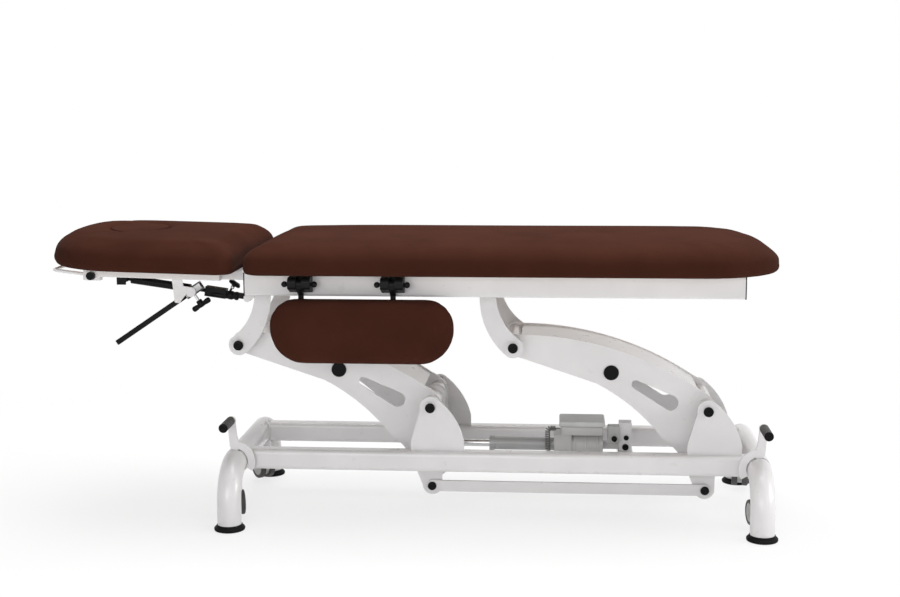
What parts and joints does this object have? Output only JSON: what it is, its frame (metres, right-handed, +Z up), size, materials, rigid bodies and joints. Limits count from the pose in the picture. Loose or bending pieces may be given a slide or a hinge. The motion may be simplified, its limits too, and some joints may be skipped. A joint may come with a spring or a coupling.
{
  "type": "electric massage table",
  "caption": "Electric height-adjustable massage table with tilting head section, padded armrest, white steel lift frame and brown upholstery",
  "frame": {"origin": "bottom centre of the overall box, on the floor", "axes": "+X to the foot end, +Y to the side away from the pedals, +Z up"},
  "size_m": [1.9613, 0.633, 0.77],
  "materials": {
    "white_paint": "gloss",
    "upholstery": "satin",
    "plywood": "matte",
    "black_rubber": "matte",
    "black_plastic": "satin",
    "black_metal": "satin",
    "grey_metal": "satin",
    "bright_steel": "satin",
    "grey_plastic": "matte",
    "castor_plastic": "satin",
    "castor_tread": "matte"
  },
  "bodies": {
    "base": {"end_arch_head": "white_paint", "end_arch_foot": "white_paint", "side_rail_near": "white_paint", "side_rail_far": "white_paint", "cross_beam": "white_paint", "base_lugs": "white_paint", "base_pivot_axles": "white_paint", "rubber_feet": "black_rubber", "actuator_motor": "black_metal", "actuator_tube": "grey_metal", "control_box": "grey_plastic", "curly_lead": "grey_plastic"},
    "actuator_rod": {"actuator_rod": "bright_steel"},
    "head_arm": {"head_arm_plates": "white_paint", "head_arm_cover": "white_paint", "head_arm_tubes": "white_paint", "head_arm_plugs": "black_plastic"},
    "foot_arm": {"foot_arm_plates": "white_paint", "foot_arm_cover": "white_paint", "foot_arm_tubes": "white_paint", "foot_arm_plugs": "black_plastic"},
    "tie_rods": {"tie_rods": "white_paint"},
    "top_frame": {"top_rails": "white_paint", "top_cross_rails": "white_paint", "hangers": "white_paint", "top_pivot_axles": "white_paint", "rail_end_caps": "black_plastic", "main_board": "plywood", "main_pad": "upholstery", "head_hinge_lugs": "white_paint", "armrest_clamps": "black_metal"},
    "head_section": {"head_rail_near": "white_paint", "head_rail_far": "white_paint", "head_cross_rails": "white_paint", "head_board": "plywood", "head_pad": "upholstery", "face_plug": "upholstery", "lever_bracket": "white_paint", "gas_cylinder": "black_metal"},
    "gas_rod": {"gas_rod": "black_metal"},
    "spring_knob": {"spring_knob": "black_plastic"},
    "lever_sleeve": {"lever_sleeve": "grey_metal"},
    "release_bar": {"release_bar": "black_metal"},
    "tee_knob": {"tee_knob": "black_metal"},
    "paper_roll_bar": {"paper_roll_bar": "white_paint"},
    "roll_knob": {"roll_knob": "black_plastic"},
    "armrest": {"armrest_pad": "upholstery", "armrest_board": "black_metal"},
    "head_plungers": {"head_castor_plungers": "grey_metal"},
    "foot_plungers": {"foot_castor_plungers": "grey_metal"},
    "head_pedal": {"head_pedal": "white_paint"},
    "foot_pedal": {"foot_pedal": "white_paint"},
    "fork_head_near": {"castor_fork_head_near": "castor_plastic"},
    "wheels_head_near": {"castor_wheel_head_near": "castor_tread"},
    "fork_head_far": {"castor_fork_head_far": "castor_plastic"},
    "wheels_head_far": {"castor_wheel_head_far": "castor_tread"},
    "fork_foot_near": {"castor_fork_foot_near": "castor_plastic"},
    "wheels_foot_near": {"castor_wheel_foot_near": "castor_tread"},
    "fork_foot_far": {"castor_fork_foot_far": "castor_plastic"},
    "wheels_foot_far": {"castor_wheel_foot_far": "castor_tread"}
  },
  "joints": [
    {"name": "lift", "type": "hinge", "parent": "base", "child": "head_arm", "pos_m": [0.0525, 0, 0.3125], "axis": [0, 1, 0], "range_deg": [-23, 22]},
    {"name": "foot_arm_turn", "type": "hinge", "parent": "base", "child": "foot_arm", "pos_m": [0.7925, 0, 0.3125], "axis": [0, 1, 0], "range_deg": [-23, 22]},
    {"name": "top_level", "type": "hinge", "parent": "head_arm", "child": "top_frame", "pos_m": [-0.46589, 0, 0.47744], "axis": [0, 1, 0], "range_deg": [-22, 23]},
    {"name": "tie_turn", "type": "hinge", "parent": "head_arm", "child": "tie_rods", "pos_m": [0.0525, 0, 0.083], "axis": [0, 1, 0], "range_deg": [-22, 23]},
    {"name": "ram", "type": "slide", "parent": "base", "child": "actuator_rod", "axis": [1, 0, 0], "range_m": [-0.056, 0.056]},
    {"name": "head_tilt", "type": "hinge", "parent": "top_frame", "child": "head_section", "pos_m": [-0.438, 0, 0.672], "axis": [0, 1, 0], "range_deg": [-30, 6]},
    {"name": "spring_stroke", "type": "slide", "parent": "head_section", "child": "gas_rod", "axis": [0.9901, 0, -0.1406], "range_m": [-0.035, 0.008]},
    {"name": "spring_knob_turn", "type": "hinge", "parent": "gas_rod", "child": "spring_knob", "pos_m": [-0.49074, -0.15, 0.61905], "axis": [0.5662, 0, 0.8243], "continuous": true},
    {"name": "lever_turn", "type": "hinge", "parent": "head_section", "child": "lever_sleeve", "pos_m": [-0.582, -0.1829, 0.6273], "axis": [0, 1, 0], "range_deg": [0, 5]},
    {"name": "lever_bar_slide", "type": "slide", "parent": "lever_sleeve", "child": "release_bar", "axis": [0.829, 0, 0.5592], "range_m": [-0.01, 0.03]},
    {"name": "tee_turn", "type": "hinge", "parent": "lever_sleeve", "child": "tee_knob", "pos_m": [-0.57082, -0.1829, 0.61072], "axis": [0.5592, 0, -0.829], "continuous": true},
    {"name": "roll_bar_slide", "type": "slide", "parent": "head_section", "child": "paper_roll_bar", "axis": [-0.9936, 0, 0.1132], "range_m": [0, 0.02]},
    {"name": "roll_knob_turn", "type": "hinge", "parent": "head_section", "child": "roll_knob", "pos_m": [-0.8416, -0.231, 0.67357], "axis": [0, 1, 0], "continuous": true},
    {"name": "armrest_swing", "type": "hinge", "parent": "top_frame", "child": "armrest", "pos_m": [-0.155, -0.275, 0.661], "axis": [1, 0, 0], "range_deg": [-90, 0]},
    {"name": "head_pedal_turn", "type": "hinge", "parent": "base", "child": "head_pedal", "pos_m": [-0.475, 0, 0.166], "axis": [0, 1, 0], "range_deg": [-35, 0]},
    {"name": "foot_pedal_turn", "type": "hinge", "parent": "base", "child": "foot_pedal", "pos_m": [0.925, 0, 0.166], "axis": [0, 1, 0], "range_deg": [0, 35]},
    {"name": "head_castors_drop", "type": "slide", "parent": "base", "child": "head_plungers", "axis": [0, 0, -1], "range_m": [0, 0.02]},
    {"name": "foot_castors_drop", "type": "slide", "parent": "base", "child": "foot_plungers", "axis": [0, 0, -1], "range_m": [0, 0.02]},
    {"name": "swivel_head_near", "type": "hinge", "parent": "head_plungers", "child": "fork_head_near", "pos_m": [-0.475, -0.19, 0.096], "axis": [0, 0, 1], "continuous": true},
    {"name": "roll_head_near", "type": "hinge", "parent": "fork_head_near", "child": "wheels_head_near", "pos_m": [-0.4791, -0.17872, 0.046], "axis": [0.9397, 0.342, 0], "continuous": true},
    {"name": "swivel_head_far", "type": "hinge", "parent": "head_plungers", "child": "fork_head_far", "pos_m": [-0.475, 0.19, 0.096], "axis": [0, 0, 1], "continuous": true},
    {"name": "roll_head_far", "type": "hinge", "parent": "fork_head_far", "child": "wheels_head_far", "pos_m": [-0.48271, 0.19919, 0.046], "axis": [0.766, 0.6428, 0], "continuous": true},
    {"name": "swivel_foot_near", "type": "hinge", "parent": "foot_plungers", "child": "fork_foot_near", "pos_m": [0.925, -0.19, 0.096], "axis": [0, 0, 1], "continuous": true},
    {"name": "roll_foot_near", "type": "hinge", "parent": "fork_foot_near", "child": "wheels_foot_near", "pos_m": [0.92333, -0.17812, 0.046], "axis": [0.9903, 0.1392, 0], "continuous": true},
    {"name": "swivel_foot_far", "type": "hinge", "parent": "foot_plungers", "child": "fork_foot_far", "pos_m": [0.925, 0.19, 0.096], "axis": [0, 0, 1], "continuous": true},
    {"name": "roll_foot_far", "type": "hinge", "parent": "fork_foot_far", "child": "wheels_foot_far", "pos_m": [0.92625, 0.20193, 0.046], "axis": [0.9945, -0.1045, 0], "continuous": true}
  ],
  "couplings": [
    {"joint": "foot_arm_turn", "follows": "lift", "ratio": 1},
    {"joint": "top_level", "follows": "lift", "ratio": -1},
    {"joint": "tie_turn", "follows": "lift", "ratio": -1},
    {"joint": "ram", "follows": "lift", "m_per_rad": -0.1359},
    {"joint": "spring_stroke", "follows": "head_tilt", "m_per_rad": 0.0642},
    {"joint": "head_castors_drop", "follows": "head_pedal_turn", "m_per_rad": -0.0327},
    {"joint": "foot_castors_drop", "follows": "foot_pedal_turn", "m_per_rad": 0.0327}
  ]
}
